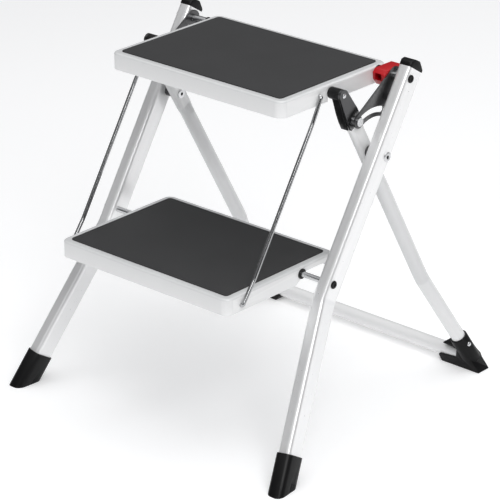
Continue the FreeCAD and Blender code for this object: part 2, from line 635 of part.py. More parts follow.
def makeTopPan():
    """The top pan has a seat in each side skirt that drops on the supports of the rear legs."""
    body, base = makePan("top", "top", topHinge, rodTop)
    seat = newSketch(body, "pan_seat", "YZ_Plane")
    y, z = legTip.y - base.y, legTip.z - base.z
    radius = size("spigot_dia") / 2 + size("fit_gap")
    flankY, flankZ = y + 0.85 * radius, z + 0.6 * radius
    drawPolygon(seat, [
        (y - radius, z), (y - radius, -1), (flankY + 0.75 * (flankZ + 1), -1), (flankY, flankZ),
    ])
    pocket(body, seat, "dims.tread_width + 10", middle=True)
    crown = newSketch(body, "pan_seat_crown", "YZ_Plane")
    drawCircle(crown, str(y), str(z), "dims.spigot_dia / 2 + dims.fit_gap")
    pocket(body, crown, "dims.tread_width + 10", middle=True)
    # when folded, the same supports come to rest in a second notch under the hinge rod
    shutTip = pivot + Rotation(Vector(-1, 0, 0), size("close_angle")).multVec(tipFromPivot)
    folded = Rotation(Vector(1, 0, 0), size("fold_angle")).multVec(shutTip - topHinge) + topHinge
    y, z = folded.y - base.y, folded.z - base.z
    wide = size("spigot_dia") / 2 + 0.5
    notch = newSketch(body, "pan_notch", "YZ_Plane")
    drawPolygon(notch, [(y - wide, z), (y - wide - 3, -1), (y + wide, -1), (y + wide, z)])
    pocket(body, notch, "dims.tread_width + 10", middle=True)
    arch = newSketch(body, "pan_notch_arch", "YZ_Plane")
    drawCircle(arch, str(y), str(z), "dims.spigot_dia / 2 + 0.5")
    pocket(body, arch, "dims.tread_width + 10", middle=True)
    keep(body, "top_tread_pan")


def makeLowerPan():
    """The lower pan's side skirts are cut back behind the hinge rod."""
    body, base = makePan("lower", "low", lowHinge, rodFoot)
    relief = newSketch(body, "pan_relief", "YZ_Plane")
    start = lowHinge.y - base.y + 3
    drawPolygon(relief, [
        (start - 14, -1), (start + 6, "dims.tread_height - 9"),
        ("dims.tread_depth / 2 - dims.tread_corner", "dims.tread_height - 9"),
        ("dims.tread_depth / 2 - dims.tread_corner", -1),
    ])
    pocket(body, relief, "dims.tread_width + 10", middle=True)
    keep(body, "lower_tread_pan")


def makeMat(word, prefix):
    place = Vector(0, size("%s_tread_y" % prefix), size("%s_tread_z" % prefix))
    body = newBody("mat_%s" % word, place)
    outline = newSketch(body, "mat_outline_%s" % word, "XY_Plane")
    drawRoundedBox(outline, "dims.mat_width", "dims.mat_depth", "dims.mat_corner")
    pad(body, outline, "dims.mat_thick")
    keep(body, "%s_tread_mat" % word)


def makeBushes(word, hinge):
    """Flanged bushes in the side skirts, which turn on the hinge rod."""
    bushes = []
    inner = halfWidth - size("sheet_thick")
    for sideWord, side in sides.items():
        place = Vector(0, hinge.y, hinge.z)
        sleeve = bar("bush_%s_%s" % (word, sideWord), "dims.bush_dia / 2", "6",
                     place + Vector(outward(side, inner - 4.5, 6), 0, 0))
        flange = bar("flange_%s_%s" % (word, sideWord), "dims.bush_flange / 2", "1.5",
                     place + Vector(outward(side, halfWidth, 1.5), 0, 0))
        bore = bar("bush_bore_%s_%s" % (word, sideWord), "dims.hinge_dia / 2 + dims.fit_gap",
                   "12", place + Vector(outward(side, inner - 7, 12), 0, 0))
        whole = join("bush_solid_%s_%s" % (word, sideWord), sleeve, flange)
        bushes.append(cut("bush_cut_%s_%s" % (word, sideWord), whole, bore))
    keep(gather("bushes_%s" % word, *bushes), "%s_hinge_bushes" % word)


# Link rods, guide plates and lock
def makeLinkRod(word, side):
    """A rod in a plane beside the skirts, with a short hook into each tread."""
    x = side * size("rod_mid_x")
    radius = size("rod_dia") / 2
    top = Vector(x, rodTop.y, rodTop.z)
    foot = Vector(x, rodFoot.y, rodFoot.z)
    down = (foot - top).normalize()
    aside = Vector(0, down.z, -down.y) * -size("rod_sway")
    upperBend = top + down * size("rod_sway_at") + aside
    lowerBend = foot - down * size("rod_sway_at") + aside
    inward = Vector(-side, 0, 0)
    hook = size("rod_mid_x") - halfWidth + size("sheet_thick") + 4
    route = [top + inward * hook, top, upperBend, lowerBend, foot, foot + inward * hook]
    radii = [radius * 1.02, 40, 40, radius * 1.02]
    edges = []
    last = route[0]
    for before, corner, after, bend in zip(route, route[1:], route[2:], radii):
        come = (corner - before).normalize()
        leave = (after - corner).normalize()
        turn = come.getAngle(leave)
        reach = bend * math.tan(turn / 2)
        enter, exit_ = corner - come * reach, corner + leave * reach
        middle = (enter + exit_) / 2
        inside = (leave - come).normalize()
        crown = corner + inside * (bend / math.cos(turn / 2) - bend)
        edges.append(Part.LineSegment(last, enter).toShape())
        edges.append(Part.Arc(enter, crown, exit_).toShape())
        last = exit_
    edges.append(Part.LineSegment(last, route[-1]).toShape())
    spine = Part.Wire(edges)
    ring = Part.Wire(Part.Circle(route[0], inward, radius).toShape())
    item = doc.addObject("Part::Feature", "link_rod_%s" % word)
    item.Shape = spine.makePipeShell([ring], True, False)
    keep(item, "link_rod_%s" % word)


def makeClips():
    """Push-on clips that hold the hooks inside the skirts."""
    clips = []
    for word, side in sides.items():
        for end, place in (("top", rodTop), ("foot", rodFoot)):
            inner = halfWidth - size("sheet_thick") - size("clip_thick") - size("side_gap")
            start = Vector(outward(side, inner, size("clip_thick")), place.y, place.z)
            ring = bar("clip_%s_%s" % (end, word), "dims.clip_dia / 2", "dims.clip_thick", start)
            hole = bar("clip_hole_%s_%s" % (end, word), "dims.rod_dia / 2", "dims.clip_thick",
                       start)
            clips.append(cut("clip_cut_%s_%s" % (end, word), ring, hole))
    keep(gather("clips", *clips), "link_rod_clips")


def makeGuide(word, side):
    """One guide plate: fixed to the rail, with a slot round the pivot for the leg's stud."""
    near = outward(side, size("guide_mid_x") - size("guide_thick") / 2, size("guide_thick"))
    body = newBody("guide_%s" % word, Vector(near, pivot.y, pivot.z))
    eye = topHinge - pivot
    openStud = stud - pivot
    shutStud = Rotation(Vector(-1, 0, 0), size("close_angle")).multVec(openStud)
    for name, place, radius in (("eye", eye, "dims.guide_eye"), ("open", openStud, "dims.guide_rim"),
                                ("shut", shutStud, "dims.guide_rim")):
        disc = newSketch(body, "guide_%s_%s" % (name, word), "YZ_Plane")
        drawCircle(disc, str(place.y), str(place.z), radius)
        pad(body, disc, "dims.guide_thick")
    web = newSketch(body, "guide_web_%s" % word, "YZ_Plane")
    corners = []
    ring = [(eye, "guide_eye"), (shutStud, "guide_rim"), (openStud, "guide_rim")]
    for number, (place, alias) in enumerate(ring):
        before, beforeAlias = ring[number - 1]
        corners += tangentLine(before, size(beforeAlias), place, size(alias))
    drawPolygon(web, [(point.y, point.z) for point in corners])
    pad(body, web, "dims.guide_thick")
    under = newSketch(body, "guide_under_%s" % word, "YZ_Plane")
    drawCircle(under, "0", "0", "dims.stud_along - dims.guide_rim")
    pocket(body, under, "2 * dims.guide_thick", reverse=True)
    slot = newSketch(body, "guide_slot_%s" % word, "YZ_Plane")
    drawArcSlot(slot, openStud, shutStud, "dims.stud_along", "dims.slot_width / 2")
    pocket(body, slot, "2 * dims.guide_thick", reverse=True)
    hole = newSketch(body, "guide_hole_%s" % word, "YZ_Plane")
    drawCircle(hole, str(eye.y), str(eye.z), "dims.hinge_dia / 2")
    pocket(body, hole, "2 * dims.guide_thick", reverse=True)
    return keep(body, "guide_plate_%s" % word)


def tangentLine(start, startRadius, end, endRadius):
    """Ends of the line that touches two circles on their left, seen from start to end."""
    way = end - start
    lean_ = math.asin((startRadius - endRadius) / way.Length)
    angle = math.atan2(way.z, way.y) + math.pi / 2 - lean_
    side = Vector(0, math.cos(angle), math.sin(angle))
    return [start + side * startRadius, end + side * endRadius]


def makeRings():
    """Rings on the top hinge rod beside the guide plates, and the plates' lower fixings."""
    guideInner = size("guide_mid_x") - size("guide_thick") / 2
    guideOuter = size("guide_mid_x") + size("guide_thick") / 2
    fixing = lowHinge + alongRail * size("guide_fix_along") + behindRail * 3
    rings, fixings = [], []
    for word, side in sides.items():
        gap = railInner - guideOuter
        start = Vector(outward(side, guideOuter, gap), topHinge.y, topHinge.z)
        ring = bar("ring_" + word, "dims.hinge_cap_dia / 2 + 1", str(gap), start)
        hole = bar("ring_hole_" + word, "dims.hinge_dia / 2", str(gap), start)
        rings.append(cut("ring_cut_" + word, ring, hole))
        start = Vector(outward(side, guideOuter, gap), fixing.y, fixing.z)
        post = bar("post_" + word, "dims.guide_fix_dia / 2", str(gap), start)
        start = Vector(outward(side, guideInner - 1.5, 1.5), fixing.y, fixing.z)
        head = bar("post_head_" + word, "dims.guide_fix_dia / 2 + 1", "1.5", start)
        fixings += [post, head]
    near = halfWidth + 1.5 + size("side_gap")
    far = guideInner - size("side_gap")
    start = Vector(-far, topHinge.y, topHinge.z)
    tube = bar("sleeve", "dims.hinge_cap_dia / 2", str(far - near), start)
    hole = bar("sleeve_hole", "dims.hinge_dia / 2", str(far - near), start)
    rings.append(cut("sleeve_cut", tube, hole))
    keep(gather("rings", *rings), "top_hinge_spacers")
    keep(gather("fixings", *fixings), "guide_fixings")


def makeLock():
    """The folding lock: a block that turns on the hinge rod, with a round recess."""
    base = Vector(size("lock_start_x"), topHinge.y, topHinge.z)
    body = newBody("lock", base)
    outline = newSketch(body, "lock_outline", "YZ_Plane")
    drawPolygon(outline, [
        (-16, 9.5), (-21, 4), (-20, -5), (-13, -14), (-9.5, -12), (-7.9, -6.5), (3, -5.8),
        (20, 2.4), (22, 7), (18, 9.5),
    ])
    pad(body, outline, "dims.lock_width")
    hole = newSketch(body, "lock_hole", "YZ_Plane")
    drawCircle(hole, "0", "0", "dims.hinge_dia / 2 + 2 * dims.fit_gap")
    pocket(body, hole, "2 * dims.lock_width", reverse=True)
    window = newSketch(body, "lock_window", "XZ_Plane")
    drawCircle(window, "dims.lock_width * 0.45", "-0.5", "4.5")
    pocket(body, window, "0.8 * dims.lock_width")
    keep(body, "fold_lock")


# Build everything
for sideName, sideSign in sides.items():
    makeRail(sideName, sideSign)
    makeBoot(sideName, sideSign)
    makeCap(sideName, sideSign)
    makeLeg(sideName, sideSign)
    makeTongue(sideName, sideSign)
    makeRearFoot(sideName, sideSign)
    makeSupport(sideName, sideSign)
    makeLinkRod(sideName, sideSign)
    makeGuide(sideName, sideSign)
makeHingeRods()
makePivots()
makeCrossbar()
makeFootRivets()
makeTipRivets()
makeTopPan()
makeLowerPan()
makeMat("top", "top")
makeMat("lower", "low")
makeBushes("top", topHinge)
makeBushes("lower", lowHinge)
makeClips()
makeRings()
makeLock()
doc.recompute()

# Check and write
for item in doc.Objects:
    if "Invalid" in item.State or "Error" in item.State:
        raise ValueError("%s failed: %s" % (item.Name, item.State))
for item in nodes:
    if item.Shape.isNull() or not item.Shape.isValid() or not item.Shape.Solids:
        raise ValueError("%s has no valid shape" % item.Label)

os.makedirs("parts", exist_ok=True)
for item in nodes:
    item.Shape.exportStep("parts/%s.step" % item.Label)
    box = item.Shape.optimalBoundingBox(False, False)
    print("%-22s solids %d volume %9.0f  x %.1f..%.1f  y %.1f..%.1f  z %.1f..%.1f" % (
        item.Label, len(item.Shape.Solids), item.Shape.Volume,
        box.XMin, box.XMax, box.YMin, box.YMax, box.ZMin, box.ZMax))
print("top hinge", topHinge, "pivot", pivot, "tip", legTip, "stud", stud)
print("rod top", rodTop, "rod foot", rodFoot, "low hinge", lowHinge)
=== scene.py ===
import bpy
import bmesh
import json
import math
from mathutils import Vector, Matrix


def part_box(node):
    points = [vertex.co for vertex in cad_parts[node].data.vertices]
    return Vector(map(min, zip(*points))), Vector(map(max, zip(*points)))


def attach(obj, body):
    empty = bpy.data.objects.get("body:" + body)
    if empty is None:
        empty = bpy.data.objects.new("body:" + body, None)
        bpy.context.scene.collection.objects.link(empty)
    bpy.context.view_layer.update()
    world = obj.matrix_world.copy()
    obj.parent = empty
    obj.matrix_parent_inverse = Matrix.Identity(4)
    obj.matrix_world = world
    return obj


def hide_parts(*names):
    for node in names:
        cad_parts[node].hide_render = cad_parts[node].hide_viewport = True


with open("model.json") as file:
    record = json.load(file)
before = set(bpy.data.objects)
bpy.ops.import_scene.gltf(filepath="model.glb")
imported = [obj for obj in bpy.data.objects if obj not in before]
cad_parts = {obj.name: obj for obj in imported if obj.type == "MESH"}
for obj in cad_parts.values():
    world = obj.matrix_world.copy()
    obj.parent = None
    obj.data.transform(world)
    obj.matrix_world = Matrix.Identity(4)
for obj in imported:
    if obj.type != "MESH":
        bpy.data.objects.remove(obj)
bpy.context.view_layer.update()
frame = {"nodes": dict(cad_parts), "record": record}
print("frame loaded")

# lengths in metres, angles in degrees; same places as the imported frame
railLean = 58.0        # slope of the front rails, from the floor
legLean = 29.82        # slope of the rear legs, from upright
footSplay = 9.9        # sideways lean of the lower front rails
legSplay = 11.22       # sideways lean of the lower rear legs
hingeTop = Vector((0, 0.06758, 0.4745))
hingeLow = Vector((0, -0.0832, 0.2332))
pivotSpot = Vector((0, 0.02236, 0.37949))
legTip = Vector((0, -0.02936, 0.46972))
footSpot = Vector((0.2372, -0.22185, 0))
cornerSpot = Vector((0.199, 0.2313, 0.015))
sideList = [("right", 1), ("left", -1)]


# camera, light, floor
cameraLook = {
    "spot": (2.11184, -2.40134, 1.57564), "aim": (-0.0124, -0.0013, 0.1939), "lens": 183.3,
    "sensor": 36, "reach": 50,
}

bpy.ops.object.camera_add(location=cameraLook["spot"])
camera = bpy.context.object
camera.name = "camera"
camera.data.lens = cameraLook["lens"]
camera.data.sensor_width = cameraLook["sensor"]
camera.data.clip_end = cameraLook["reach"]
aimWay = Vector(cameraLook["aim"]) - Vector(cameraLook["spot"])
camera.rotation_euler = aimWay.to_track_quat("-Z", "Y").to_euler()
bpy.context.scene.camera = camera

lightTarget = Vector((0, 0, 0.25))
lightLook = {
    "key": {"spot": (2.3, -1.5, 2.5), "size": 1.6, "power": 42},
    "fill": {"spot": (-0.2, -3.0, 0.9), "size": 1.4, "power": 4},
    "back": {"spot": (0.6, 2.6, 2.0), "size": 2.4, "power": 9},
    "top": {"spot": (0.1, 0.0, 3.0), "size": 2.6, "power": 29},
}
for lightName, look in lightLook.items():
    bpy.ops.object.light_add(type="AREA", location=look["spot"])
    lamp = bpy.context.object
    lamp.name = lightName + "Light"
    lamp.data.size = look["size"]
    lamp.data.energy = look["power"]
    lampWay = lightTarget - Vector(look["spot"])
    lamp.rotation_euler = lampWay.to_track_quat("-Z", "Y").to_euler()

world = bpy.data.worlds.new("studio")
bpy.context.scene.world = world
world.use_nodes = True
worldLook = {
    "strength": 0.72, "horizon": (0.10, 0.10, 0.105, 1), "sky": (0.95, 0.96, 0.97, 1),
    "darkTo": 0.42, "brightFrom": 0.8,  # heights in the sky, 0 at the horizon and 1 overhead
}
background = world.node_tree.nodes["Background"]
background.inputs["Strength"].default_value = worldLook["strength"]
skyCoord = world.node_tree.nodes.new("ShaderNodeTexCoord")
skyCoord.location = (-900, 0)
skySplit = world.node_tree.nodes.new("ShaderNodeSeparateXYZ")
skySplit.location = (-700, 0)
skyRamp = world.node_tree.nodes.new("ShaderNodeValToRGB")
skyRamp.location = (-500, 0)
skyRamp.color_ramp.elements[0].position = worldLook["darkTo"]
skyRamp.color_ramp.elements[0].color = worldLook["horizon"]
skyRamp.color_ramp.elements[1].position = worldLook["brightFrom"]
skyRamp.color_ramp.elements[1].color = worldLook["sky"]
world.node_tree.links.new(skyCoord.outputs["Generated"], skySplit.inputs["Vector"])
world.node_tree.links.new(skySplit.outputs["Z"], skyRamp.inputs["Fac"])
world.node_tree.links.new(skyRamp.outputs["Color"], background.inputs["Color"])
bpy.context.scene.view_settings.view_transform = "Standard"
print("camera and lights done")


# materials
def newMaterial(name):
    material = bpy.data.materials.new(name)
    material.use_nodes = True
    return material


def addNode(material, kind, x, y, **sockets):
    node = material.node_tree.nodes.new(kind)
    node.location = (x, y)
    for socket, value in sockets.items():
        node.inputs[socket.replace("_", " ")].default_value = value
    return node


def wire(material, fromNode, fromSocket, toNode, toSocket):
    material.node_tree.links.new(fromNode.outputs[fromSocket], toNode.inputs[toSocket])


# painted highlight: a lighter edge colour laid on convex edges, standing in for light caught there
edgeHighlight = {"from": 0.5, "full": 0.62}  # pointiness where the edge colour starts, and is full
bumpDepth = 0.0004


# Object-space noise drives colour, roughness and bump of one Principled shader.
def buildMaterial(name, look):
    material = newMaterial(name)
    shader = material.node_tree.nodes["Principled BSDF"]
    shader.inputs["Metallic"].default_value = look["metal"]
    shader.inputs["Coat Weight"].default_value = look.get("coat", 0)
    shader.inputs["Coat Roughness"].default_value = look.get("coatRough", 0.1)
    shader.inputs["Specular IOR Level"].default_value = look.get("shine", 0.5)
    coord = addNode(material, "ShaderNodeTexCoord", -1400, 0)
    stretch = addNode(material, "ShaderNodeMapping", -1200, 0)
    stretch.inputs["Scale"].default_value = look.get("stretch", (1, 1, 1))
    wire(material, coord, "Object", stretch, "Vector")
    # broad patches in colour
    patch = addNode(material, "ShaderNodeTexNoise", -950, 250, Scale=look["patch"], Detail=4)
    wire(material, stretch, "Vector", patch, "Vector")
    tint = addNode(material, "ShaderNodeMix", -500, 300)
    tint.data_type = "RGBA"
    tintIn = [socket for socket in tint.inputs if socket.type == "RGBA"]
    tintIn[0].default_value = (*look["dark"], 1)
    tintIn[1].default_value = (*look["pale"], 1)
    wire(material, patch, "Fac", tint, "Factor")
    tintOut = [socket for socket in tint.outputs if socket.type == "RGBA"][0]
    material.node_tree.links.new(tintOut, shader.inputs["Base Color"])
    # fine grain in roughness and bump
    grain = addNode(material, "ShaderNodeTexNoise", -950, -100, Scale=look["grain"], Detail=6)
    wire(material, stretch, "Vector", grain, "Vector")
    rough = addNode(material, "ShaderNodeMapRange", -500, -50)
    rough.inputs["To Min"].default_value = look["rough"][0]
    rough.inputs["To Max"].default_value = look["rough"][1]
    wire(material, grain, "Fac", rough, "Value")
    wire(material, rough, "Result", shader, "Roughness")
    bump = addNode(
        material, "ShaderNodeBump", -250, -300, Strength=look["bump"], Distance=bumpDepth)
    wire(material, grain, "Fac", bump, "Height")
    wire(material, bump, "Normal", shader, "Normal")
    if look.get("edge"):
        # painted highlight: edges get a lighter colour, as if they caught the light; pointiness
        # picks them out
        shape = addNode(material, "ShaderNodeNewGeometry", -950, 550)
        edge = addNode(material, "ShaderNodeMapRange", -700, 550)
        edge.inputs["From Min"].default_value = edgeHighlight["from"]
        edge.inputs["From Max"].default_value = edgeHighlight["full"]
        wire(material, shape, "Pointiness", edge, "Value")
        highlightMix = addNode(material, "ShaderNodeMix", -250, 350)
        highlightMix.data_type = "RGBA"
        highlightIn = [socket for socket in highlightMix.inputs if socket.type == "RGBA"]
        highlightIn[1].default_value = (*look["edge"], 1)
        material.node_tree.links.new(tintOut, highlightIn[0])
        wire(material, edge, "Result", highlightMix, "Factor")
        highlightOut = [socket for socket in highlightMix.outputs if socket.type == "RGBA"][0]
        material.node_tree.links.new(highlightOut, shader.inputs["Base Color"])
    return material


# the edge colour in each look below is a painted highlight, lighter than the faces, laid on convex
# edges
paintLook = {
    "metal": 0.0, "coat": 0.6, "coatRough": 0.12, "shine": 0.5,
    "dark": (0.66, 0.665, 0.67), "pale": (0.71, 0.715, 0.72), "patch": 6.0,
    "grain": 420.0, "rough": (0.28, 0.42), "bump": 0.06, "edge": (0.9, 0.9, 0.9),
}
railLook = {
    "metal": 0.5, "coat": 0.3, "coatRough": 0.15, "dark": (0.80, 0.805, 0.81),
    "pale": (0.88, 0.885, 0.89), "patch": 5.0, "grain": 380.0, "rough": (0.24, 0.36),
    "bump": 0.05, "edge": (0.95, 0.95, 0.95),
}
matLook = {
    "metal": 0.0, "shine": 0.35, "dark": (0.033, 0.033, 0.034), "pale": (0.043, 0.043, 0.0445),
    "patch": 14.0, "grain": 900.0, "rough": (0.62, 0.85), "bump": 0.5,
}
plasticLook = {
    "metal": 0.0, "shine": 0.16, "dark": (0.003, 0.003, 0.0034), "pale": (0.006, 0.006, 0.0066),
    "patch": 20.0, "grain": 700.0, "rough": (0.24, 0.38), "bump": 0.16,
    "edge": (0.016, 0.016, 0.016),
}
steelLook = {
    "metal": 1.0, "dark": (0.56, 0.57, 0.58), "pale": (0.72, 0.72, 0.73), "patch": 30.0,
    "grain": 260.0, "stretch": (0.15, 1, 1), "rough": (0.16, 0.34), "bump": 0.12,
}
chromeLook = {
    "metal": 1.0, "dark": (0.40, 0.405, 0.41), "pale": (0.52, 0.525, 0.53), "patch": 40.0,
    "grain": 300.0, "stretch": (1, 1, 0.1), "rough": (0.06, 0.15), "bump": 0.05,
}
plateLook = {
    "metal": 1.0, "dark": (0.07, 0.071, 0.073), "pale": (0.11, 0.111, 0.113), "patch": 35.0,
    "grain": 500.0, "rough": (0.22, 0.4), "bump": 0.15, "edge": (0.11, 0.11, 0.112),
}
redLook = {
    "metal": 0.0, "shine": 0.35, "dark": (0.40, 0.003, 0.007), "pale": (0.50, 0.006, 0.011),
    "patch": 25.0, "grain": 650.0, "rough": (0.28, 0.42), "bump": 0.12,
    "edge": (0.56, 0.012, 0.018),
}
finishes = {
    "white_paint": buildMaterial("whitePaint", paintLook),
    "rail": buildMaterial("railPaint", railLook),
    "mat": buildMaterial("treadMat", matLook),
    "black_plastic": buildMaterial("blackPlastic", plasticLook),
    "bright_steel": buildMaterial("brightSteel", steelLook),
    "chrome": buildMaterial("chromeRod", chromeLook),
    "plate_steel": buildMaterial("plateSteel", plateLook),
    "red_plastic": buildMaterial("redPlastic", redLook),
}

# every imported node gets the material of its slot
slotOf = {part["node"]: part["material_slot"] for part in frame["record"]["subparts"]}
for nodeName, node in frame["nodes"].items():
    finish = finishes["rail" if nodeName.startswith("front_rail") else slotOf[nodeName]]
    if not node.material_slots:
        node.data.materials.append(finish)
    for slotItem in node.material_slots:
        slotItem.material = finish
print("materials done")


# modelling helpers
soleHeight = 0.00001  # the soles are cut this far above the floor


def clearSelection():
    if bpy.context.object and bpy.context.object.mode != "OBJECT":
        bpy.ops.object.mode_set(mode="OBJECT")
    bpy.ops.object.select_all(action="DESELECT")


# A box of that size round the origin, ready to shape.
def startBox(name, size):
    clearSelection()
    bpy.ops.mesh.primitive_cube_add(size=1)
    piece = bpy.context.object
    piece.name = name
    piece.scale = size
    bpy.ops.object.transform_apply(location=False, rotation=False, scale=True)
    return piece


# A plate: the outline (y, z) is drawn vertex by vertex, filled and extruded along X.
def startOutline(name, points, depth, middle=True):
    clearSelection()
    bpy.ops.mesh.primitive_plane_add(size=0.01)
    piece = bpy.context.object
    piece.name = name
    bpy.ops.object.mode_set(mode="EDIT")
    bpy.ops.mesh.select_mode(type="VERT")
    bpy.ops.mesh.select_all(action="SELECT")
    bpy.ops.mesh.merge(type="CENTER")
    begin = -depth / 2 if middle else 0
    last = Vector((0, 0, 0))
    place = Vector((begin, *points[0]))
    bpy.ops.transform.translate(value=place - last)
    last = place
    for point in points[1:]:
        place = Vector((begin, *point))
        bpy.ops.mesh.extrude_region_move(TRANSFORM_OT_translate={"value": place - last})
        last = place
    bpy.ops.mesh.select_all(action="SELECT")
    bpy.ops.mesh.edge_face_add()
    bpy.ops.mesh.extrude_region_move(TRANSFORM_OT_translate={"value": (depth, 0, 0)})
    bpy.ops.mesh.select_all(action="SELECT")
    bpy.ops.mesh.normals_make_consistent(inside=False)
    bpy.ops.object.mode_set(mode="OBJECT")
    return piece


# A turned piece round the X axis: the profile is a list of (x, radius).
def startLathe(name, profile, steps=32):
    clearSelection()
    bpy.ops.mesh.primitive_plane_add(size=0.01)
    piece = bpy.context.object
    piece.name = name
    bpy.ops.object.mode_set(mode="EDIT")
    bpy.ops.mesh.select_mode(type="VERT")
    bpy.ops.mesh.select_all(action="SELECT")
    bpy.ops.mesh.merge(type="CENTER")
    last = Vector((0, 0, 0))
    for number, (x, radius) in enumerate(profile):
        place = Vector((x, 0, radius))
        if number:
            bpy.ops.mesh.extrude_region_move(TRANSFORM_OT_translate={"value": place - last})
        else:
            bpy.ops.transform.translate(value=place)
        last = place
    bpy.ops.mesh.select_all(action="SELECT")
    bpy.ops.mesh.spin(steps=steps, angle=math.tau, center=(0, 0, 0), axis=(1, 0, 0))
    bpy.ops.mesh.select_all(action="SELECT")
    bpy.ops.mesh.remove_doubles(threshold=0.00001)
    bpy.ops.mesh.normals_make_consistent(inside=False)
    bpy.ops.object.mode_set(mode="OBJECT")
    return piece


# A plain round pin along X, for cutting holes and seats.
def startPin(name, begin, end, radius, steps=40):
    return startLathe(name, [(begin, 0), (begin, radius), (end, radius), (end, 0)], steps)


def activate(piece):
    clearSelection()
    piece.select_set(True)
    bpy.context.view_layer.objects.active = piece


def bevelEdges(piece, width, segments=3, angle=30):
    activate(piece)
    modifier = piece.modifiers.new("edges", "BEVEL")
    modifier.width = width
    modifier.segments = segments
    modifier.limit_method = "ANGLE"
    modifier.angle_limit = math.radians(angle)
    modifier.harden_normals = False
    bpy.ops.object.modifier_apply(modifier=modifier.name)


# Rounds the edges that run along one axis.
def bevelAlong(piece, way, width, segments=6):
    activate(piece)
    way = Vector(way)
    bpy.ops.object.mode_set(mode="EDIT")
    bpy.ops.mesh.select_mode(type="EDGE")
    bpy.ops.mesh.select_all(action="DESELECT")
    mesh = bmesh.from_edit_mesh(piece.data)
    for edge in mesh.edges:
        run = (edge.verts[1].co - edge.verts[0].co).normalized()
        edge.select_set(abs(run.dot(way)) > 0.99)
    bmesh.update_edit_mesh(piece.data)
    bpy.ops.mesh.bevel(offset=width, segments=segments, affect="EDGES")
    bpy.ops.object.mode_set(mode="OBJECT")


# Takes a closed tool piece away, and drops the tool.
def cutBy(piece, tool):
    activate(piece)
    modifier = piece.modifiers.new("cut", "BOOLEAN")
    modifier.object = tool
    modifier.operation = "DIFFERENCE"
    modifier.solver = "EXACT"
    bpy.ops.object.modifier_apply(modifier=modifier.name)
    bpy.data.objects.remove(tool)


def joinTo(piece, other):
    activate(piece)
    modifier = piece.modifiers.new("join", "BOOLEAN")
    modifier.object = other
    modifier.operation = "UNION"
    modifier.solver = "EXACT"
    bpy.ops.object.modifier_apply(modifier=modifier.name)
    bpy.data.objects.remove(other)


# Leans the piece about Y, then about X, moves it and applies it all.
def placeAt(piece, spot, leanX=0.0, leanY=0.0):
    activate(piece)
    aboutX = Matrix.Rotation(math.radians(leanX), 4, "X")
    aboutY = Matrix.Rotation(math.radians(leanY), 4, "Y")
    piece.rotation_euler = (aboutX @ aboutY).to_euler("XYZ")
    piece.location = spot
    bpy.ops.object.transform_apply(location=True, rotation=True, scale=True)


# Drops what is under the floor and closes the sole.
def flattenSole(piece):
    activate(piece)
    bpy.ops.object.mode_set(mode="EDIT")
    bpy.ops.mesh.select_all(action="SELECT")
    bpy.ops.mesh.bisect(
        plane_co=(0, 0, soleHeight), plane_no=(0, 0, 1), clear_inner=True, use_fill=True)
    bpy.ops.object.mode_set(mode="OBJECT")


def finishPiece(piece, slotName, body, nodes, smooth=35):
    activate(piece)
    piece.data.materials.clear()
    piece.data.materials.append(finishes[slotName])
    bpy.ops.object.shade_smooth_by_angle(angle=math.radians(smooth))
    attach(piece, body)
    if nodes:
        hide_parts(*nodes)


# tread mats
matShape = {
    "corner": 0.005, "border": 0.0022, "groove": 0.0005, "grooveSide": 0.0009, "soft": 0.0003,
}


def makeTreadMat(name, body, low, high):
    mat = startBox(name, (high.x - low.x, high.y - low.y, high.z - low.z))
    bevelAlong(mat, (0, 0, 1), matShape["corner"], 5)
    # a sunk line runs round the mat just inside its edge
    bpy.ops.object.mode_set(mode="EDIT")
    bpy.ops.mesh.select_mode(type="FACE")
    bpy.ops.mesh.select_all(action="DESELECT")
    mesh = bmesh.from_edit_mesh(mat.data)
    for face in mesh.faces:
        face.select_set(face.normal.z > 0.9)
    bmesh.update_edit_mesh(mat.data)
    bpy.ops.mesh.inset(thickness=matShape["border"])
    bpy.ops.mesh.inset(thickness=matShape["grooveSide"], depth=-matShape["groove"])
    bpy.ops.mesh.inset(thickness=matShape["grooveSide"], depth=matShape["groove"])
    bpy.ops.object.mode_set(mode="OBJECT")
    bevelEdges(mat, matShape["soft"], 2, 25)
    placeAt(mat, (low + high) / 2)
    finishPiece(mat, "mat", body, [name.replace("Mat", "_tread_mat")])


for treadWord, treadBody in (("top", "top_step"), ("lower", "lower_step")):
    matLow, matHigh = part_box(treadWord + "_tread_mat")
    makeTreadMat(treadWord + "Mat", treadBody, matLow, matHigh)
print("mats done")


# front boots
bootShape = {
    "wide": 0.0244, "deep": 0.0364, "long": 0.047, "spare": 0.04, "corner": 0.0092,
    "flutes": 4, "fluteSize": (0.0256, 0.0009, 0.017), "fluteCore": (0.0234, 0.004, 0.03),
    "fluteStart": 0.0005, "fluteStep": 0.0026, "fluteHeight": 0.0035,
    "hollow": (0.0202, 0.0322, 0.09), "hollowCorner": 0.0061, "hollowFrom": 0.0165,
    "soft": 0.0006,
}


